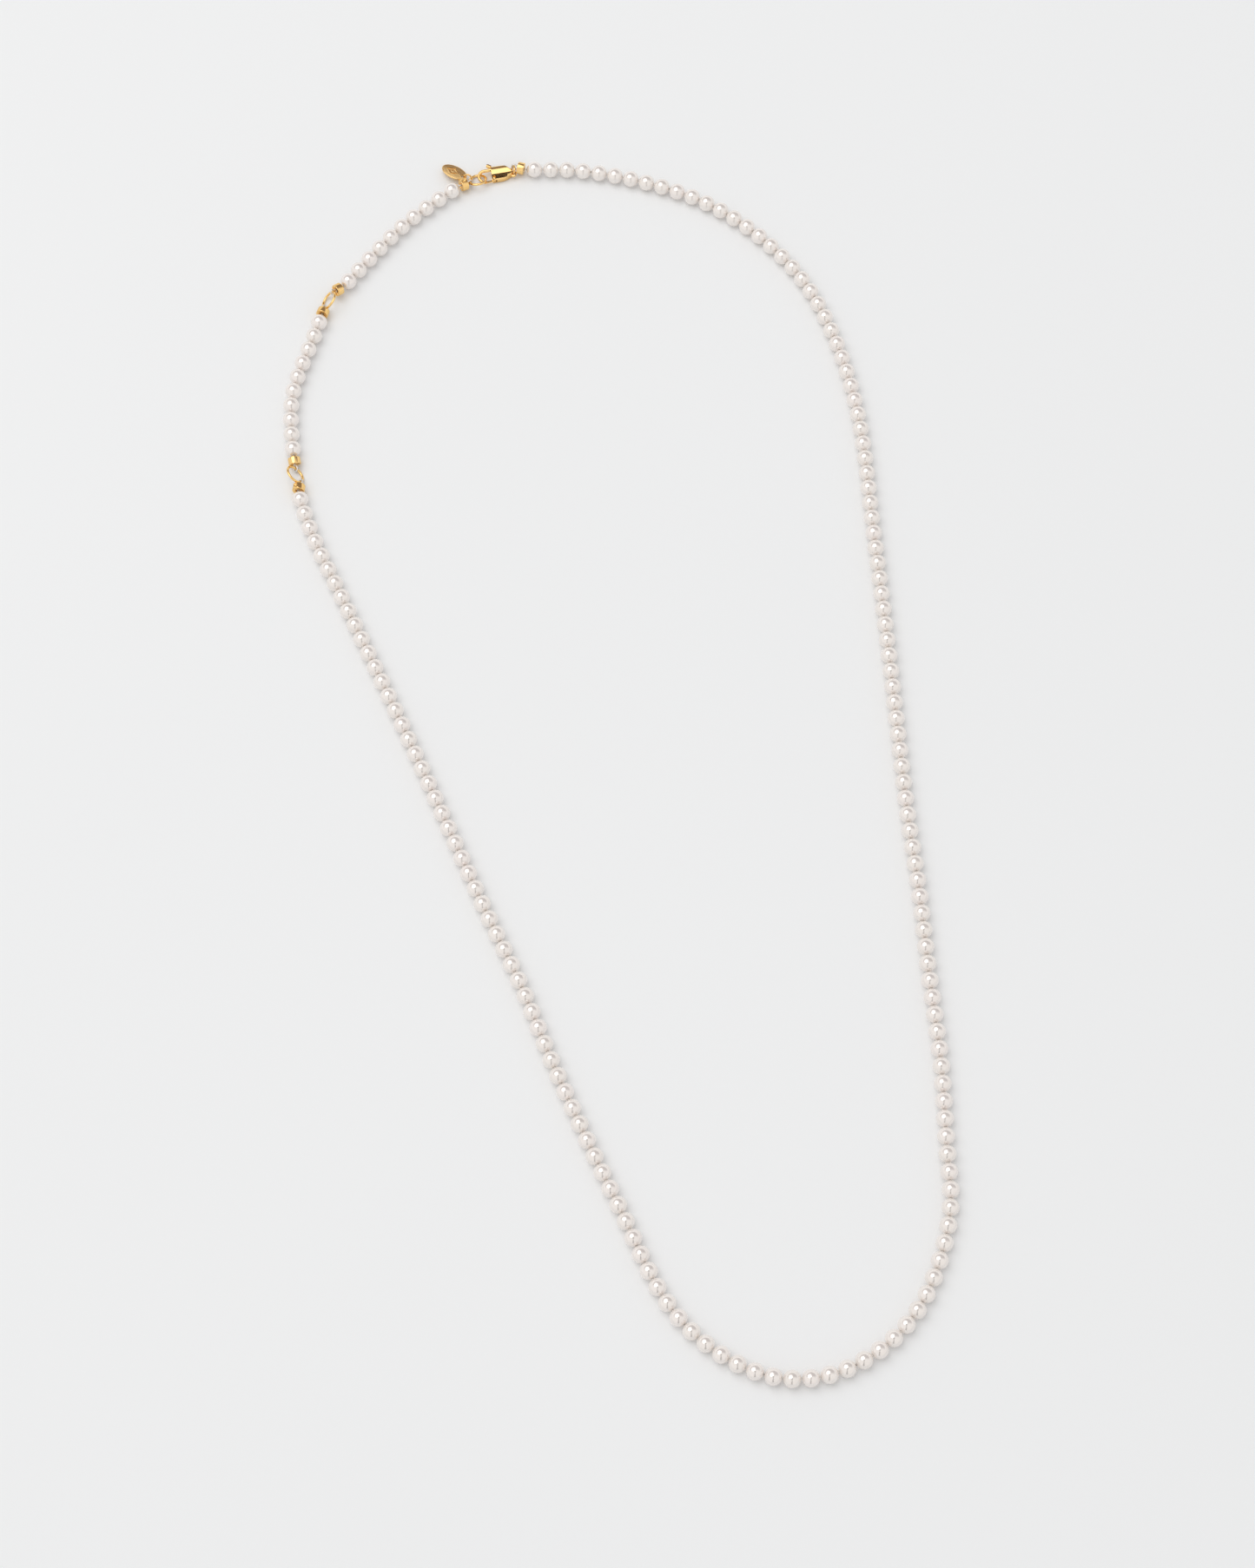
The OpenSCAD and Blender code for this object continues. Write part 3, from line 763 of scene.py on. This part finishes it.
# slot for the lever, rivet hole, eye
for x0, x1, y0, y1 in ((-2.25, 1.2, -1.0, 3.0), (-3.5, -1.25, -2.0, 0.95)):
    v, f = prism([(x0, y0), (x1, y0), (x1, y1), (x0, y1)], GATE[0] - 0.06, GATE[1] + 0.06, on_clasp)
    c = to_object("cutter", v, f, GOLD)
    outward(c)
    boolean(body, c, "DIFFERENCE")
for at, r in ((PIVOT, 0.36), (EYE, 0.5)):
    v, f = lathe([(0.0001, -1), (r, -1), (r, 4), (0.0001, 4)], on_clasp(*at, 0), (0, 0, 1), None, 48, closed=False)
    c = to_object("cutter", v, f, GOLD)
    bm = bmesh.new()
    bm.from_mesh(c.data)
    bmesh.ops.remove_doubles(bm, verts=bm.verts, dist=0.0000006)
    bmesh.ops.recalc_face_normals(bm, faces=bm.faces)
    bm.to_mesh(c.data)
    bm.free()
    boolean(body, c, "DIFFERENCE")
# cross cuts, so that a corner's shading stays at that corner
bm = bmesh.new()
bm.from_mesh(body.data)
for x in np.linspace(-2.3, 2.5, 17):
    bmesh.ops.bisect_plane(bm, geom=bm.verts[:] + bm.edges[:] + bm.faces[:], dist=1e-7,
                           plane_co=Vector(on_clasp(x, 0, 0) * K), plane_no=Vector((ct, st, 0)))
bm.to_mesh(body.data)
bm.free()
weighted(body, 30)
finish_piece(body, "clasp", ("clasp_body",))

# rivet with low domed heads
v, f = lathe([(0.0001, 0.08), (0.22, 0.09), (0.33, 0.14), (0.35, 0.20), (0.355, 1.60), (0.33, 1.68), (0.24, 1.74), (0.0001, 1.76)],
             on_clasp(*PIVOT, 0), (0, 0, 1), None, 40, closed=False)
ob = to_object("rivet", v, f, GOLD_TURNED)
bm = bmesh.new()
bm.from_mesh(ob.data)
bmesh.ops.remove_doubles(bm, verts=bm.verts, dist=0.0000006)
bmesh.ops.recalc_face_normals(bm, faces=bm.faces)
bm.to_mesh(ob.data)
bm.free()
smooth_by_angle(ob, 45)
finish_piece(ob, "clasp", ("clasp_rivet",))

# lever: gate bar, hub and thumb tab
hub = [(PIVOT[0] + 0.55 * math.cos(a), PIVOT[1] + 0.55 * math.sin(a)) for a in np.linspace(0, 2 * math.pi, 41)[:-1]]
bar = [(-4.6, -1.66), (-4.66, -1.45), (-4.6, -1.28), (-2.3, -1.06), (-2.15, -0.4), (-2.1, 2.2), (-3.35, 3.15), (-3.05, 3.5),
       (-2.75, 3.45), (-1.35, 2.35), (-1.35, -0.6), (-1.6, -1.24), (-2.4, -1.5)]
pad = [(-2.45, 2.5), (-3.35, 3.15), (-3.05, 3.5), (-2.75, 3.45), (-2.05, 2.9)]
v, f = prism(bar, GATE[0], GATE[1], on_clasp)
lever = to_object("clasp_lever_plate", v, f, GOLD)
outward(lever)
v, f = prism(hub, GATE[0], GATE[1], on_clasp)
c = to_object("hub", v, f, GOLD)
outward(c)
boolean(lever, c, "UNION")
v, f = prism(pad, GATE[0] + 0.02, GATE[0] + 0.95, on_clasp)
c = to_object("pad", v, f, GOLD)
outward(c)
boolean(lever, c, "UNION")
v, f = lathe([(0.0001, -1), (0.4, -1), (0.4, 4), (0.0001, 4)], on_clasp(*PIVOT, 0), (0, 0, 1), None, 40, closed=False)
c = to_object("cutter", v, f, GOLD)
bm = bmesh.new()
bm.from_mesh(c.data)
bmesh.ops.remove_doubles(bm, verts=bm.verts, dist=0.0000006)
bmesh.ops.recalc_face_normals(bm, faces=bm.faces)
bm.to_mesh(c.data)
bm.free()
boolean(lever, c, "DIFFERENCE")
softened(lever, 0.05, 3, 35)
weighted(lever, 40)
finish_piece(lever, "lever", ("clasp_lever",))

NODES["clasp_spring"].data.materials.clear()
NODES["clasp_spring"].data.materials.append(SPRING)

# jump ring and tag ring: cut and closed by bending, the cut away from what hangs on them
c, e1, e2, n, r = ring_at["jump_ring"]
eye_side = unit(pos("tail_ring_swing") - c)
wire_side = unit(pos("barrel_6_swing") - c)
ring_piece("jump_ring", RINGS["jump_ring"], unit(np.cross(n, unit(eye_side - wire_side)) + 1e-6) * (1 if (np.cross(n, unit(eye_side - wire_side)) @ (0, 0, 1)) > 0 else -1))
c, e1, e2, n, r = ring_at["tag_ring"]
side = unit(pos("tag_swing") - c)
ring_piece("tag_ring", RINGS["tag_ring"], np.cross(n, side) * (1 if (np.cross(n, side) @ (0, 0, 1)) > 0 else -1))

# ------------------------------------------------------------------ tag
TAG_L, TAG_W, TAG_T, TAG_HOLE = 7.0, 4.2, 0.5, 1.1
TA, TT = math.radians(-32), math.radians(-16)
tag_x = np.array([math.cos(TA), math.sin(TA), 0.0])
tag_y = np.array([-math.sin(TA) * math.cos(TT), math.cos(TA) * math.cos(TT), math.sin(TT)])
tag_z = np.cross(tag_x, tag_y)
HOLE_X = TAG_L / 2 - 0.95
TAG_AT = pos("tag_swing") - HOLE_X * tag_x


def on_tag(x, y, z):
    return TAG_AT + x * tag_x + y * tag_y + z * tag_z


segs = 120
t = np.arange(segs) * 2 * math.pi / segs
layers = []
e = 0.17
H = TAG_T / 2
for inset, z in [(e + 1.2, -H), (e, -H)] + [(e - x, z) for x, z in arc(0, -H + e, e, 270, 360, 6)[1:]] + [(e - x, z) for x, z in arc(0, H - e, e, 0, 90, 6)] + [(e + 0.10, H - 0.012), (e + 0.25, H - 0.028), (e + 0.5, H - 0.040), (e + 0.8, H - 0.050), (e + 1.2, H - 0.058), (e + 1.6, H - 0.062)]:
    a, b = TAG_L / 2 - inset, TAG_W / 2 - inset
    layers.append([on_tag(a * math.cos(q), b * math.sin(q), z) for q in t])
v = np.array([p for lay in layers for p in lay])
f = grid_faces(len(layers), segs)
f.append(tuple(range(segs)))
f.append(tuple(range((len(layers) - 1) * segs, len(layers) * segs)))
tag = to_object("tag_plate", v, f, GOLD_TAG)
outward(tag)
# hole, and an engraved lozenge inside a fine engraved line
v, f = prism([(HOLE_X + (TAG_HOLE / 2 + 0.05) * math.cos(q), (TAG_HOLE / 2 + 0.05) * math.sin(q)) for q in np.linspace(0, 2 * math.pi, 49)[:-1]], -1, 1, on_tag)
c = to_object("cutter", v, f, GOLD_TAG)
outward(c)
boolean(tag, c, "DIFFERENCE")


def groove(outer, inner, depth):
    v1, f1 = prism(outer, H - depth, H + 0.5, on_tag)
    c = to_object("cutter", v1, f1, GOLD_TAG)
    outward(c)
    if inner:
        v2, f2 = prism(inner, -1, 1.5, on_tag)
        q = to_object("core", v2, f2, GOLD_TAG)
        outward(q)
        boolean(c, q, "DIFFERENCE")
    boolean(tag, c, "DIFFERENCE")


def lozenge(l, w):
    return [(-0.5 - l, 0), (-0.5, -w), (-0.5 + l, 0), (-0.5, w)]


groove(lozenge(1.80, 1.24), lozenge(1.20, 0.80), 0.20)
groove(lozenge(0.70, 0.46), None, 0.18)
softened(tag, 0.035, 2, 30)
weighted(tag, 40)
finish_piece(tag, "tag", ("tag",))


# ------------------------------------------------------------------ floor, light
def stage_object(name, v, f, mat):
    ob = to_object(name, v, f, mat, smooth=False)
    return ob


mat, nt, p = material("pale_ground")
col = ramp(nt, noise(nt, 3.0, 2), [(0.3, (0.915, 0.920, 0.924)), (0.7, (0.927, 0.932, 0.936))])
nt.links.new(col, p.inputs["Base Color"])
p.inputs["Roughness"].default_value = 0.75
p.inputs["Specular IOR Level"].default_value = 0.15
bump(nt, p, noise(nt, 900, 3), 0.05, 0.00005)
S = 6000
floor = stage_object("ground", [(-S, -S, 0), (S, -S, 0), (S, S, 0), (-S, S, 0)], [(0, 1, 2, 3)], mat)

world = bpy.data.worlds.new("studio")
scene.world = world
world.use_nodes = True
nt = world.node_tree
bg = nt.nodes["Background"]
tc = nt.nodes.new("ShaderNodeTexCoord")
sep = nt.nodes.new("ShaderNodeSeparateXYZ")
nt.links.new(tc.outputs["Generated"], sep.inputs["Vector"])
FRONT, BACK = (0.98, 0.95, 0.925), (0.29, 0.245, 0.245)
mr = nt.nodes.new("ShaderNodeMapRange")
mr.interpolation_type = "SMOOTHSTEP"
mr.inputs["From Min"].default_value = -0.15
mr.inputs["From Max"].default_value = 0.40
nt.links.new(sep.outputs["Y"], mr.inputs["Value"])
high = nt.nodes.new("ShaderNodeMapRange")
high.interpolation_type = "SMOOTHSTEP"
high.inputs["From Min"].default_value = 0.30
high.inputs["From Max"].default_value = 0.52
nt.links.new(sep.outputs["Z"], high.inputs["Value"])
both = nt.nodes.new("ShaderNodeMath")
both.operation = "MULTIPLY"
nt.links.new(mr.outputs["Result"], both.inputs[0])
nt.links.new(high.outputs["Result"], both.inputs[1])
col = mixed(nt, both.outputs["Value"], FRONT, BACK)
lp = nt.nodes.new("ShaderNodeLightPath")
fill = mixed(nt, mr.outputs["Result"], (0.645, 0.645, 0.645), (0.67, 0.672, 0.674))
nt.links.new(mixed(nt, lp.outputs["Is Glossy Ray"], fill, col), bg.inputs["Color"])
bg.inputs["Strength"].default_value = 1.0

# large soft box over the far left
LIGHT_DIR = unit([-0.337, 0.211, 0.918])
ld = bpy.data.lights.new("soft_box", "AREA")
ld.shape = "DISK"
dist = 2.2
ld.size = 2 * dist * math.tan(math.radians(27))
ld.energy = 1.4 * math.pi * math.pi * (ld.size / 2) ** 2
ld.color = (1.0, 0.995, 0.985)
lo = bpy.data.objects.new("soft_box", ld)
scene.collection.objects.link(lo)
lo.location = Vector(LIGHT_DIR * dist)
lo.rotation_mode = "QUATERNION"
lo.rotation_quaternion = Vector(-LIGHT_DIR).to_track_quat("-Z", "Y")
lo.visible_camera = False

# the camera and its stand, seen only in reflections
mat, nt, p = material("camera_black")
nt.links.new(ramp(nt, noise(nt, 20, 2), [(0.3, (0.03, 0.018, 0.016)), (0.7, (0.045, 0.028, 0.026))]), p.inputs["Base Color"])
p.inputs["Roughness"].default_value = 0.8


def block(name, centre, size):
    c = np.array(centre, float)
    sx, sy, sz = (x / 2 for x in size)
    v = [c + (x, y, z) for z in (-sz, sz) for y in (-sy, sy) for x in (-sx, sx)]
    f = [(0, 2, 3, 1), (4, 5, 7, 6), (0, 1, 5, 4), (2, 6, 7, 3), (0, 4, 6, 2), (1, 3, 7, 5)]
    ob = stage_object(name, v, f, mat)
    ob.visible_camera = ob.visible_diffuse = ob.visible_shadow = False
    ob.visible_transmission = False
    return ob


block("camera_bar", CAM + (25, 10, 60), (250, 150, 150))
block("camera_foot", CAM + (-2, -40, -110), (95, 60, 240))
block("camera_column", (10, -560, 360), (105, 60, 715))
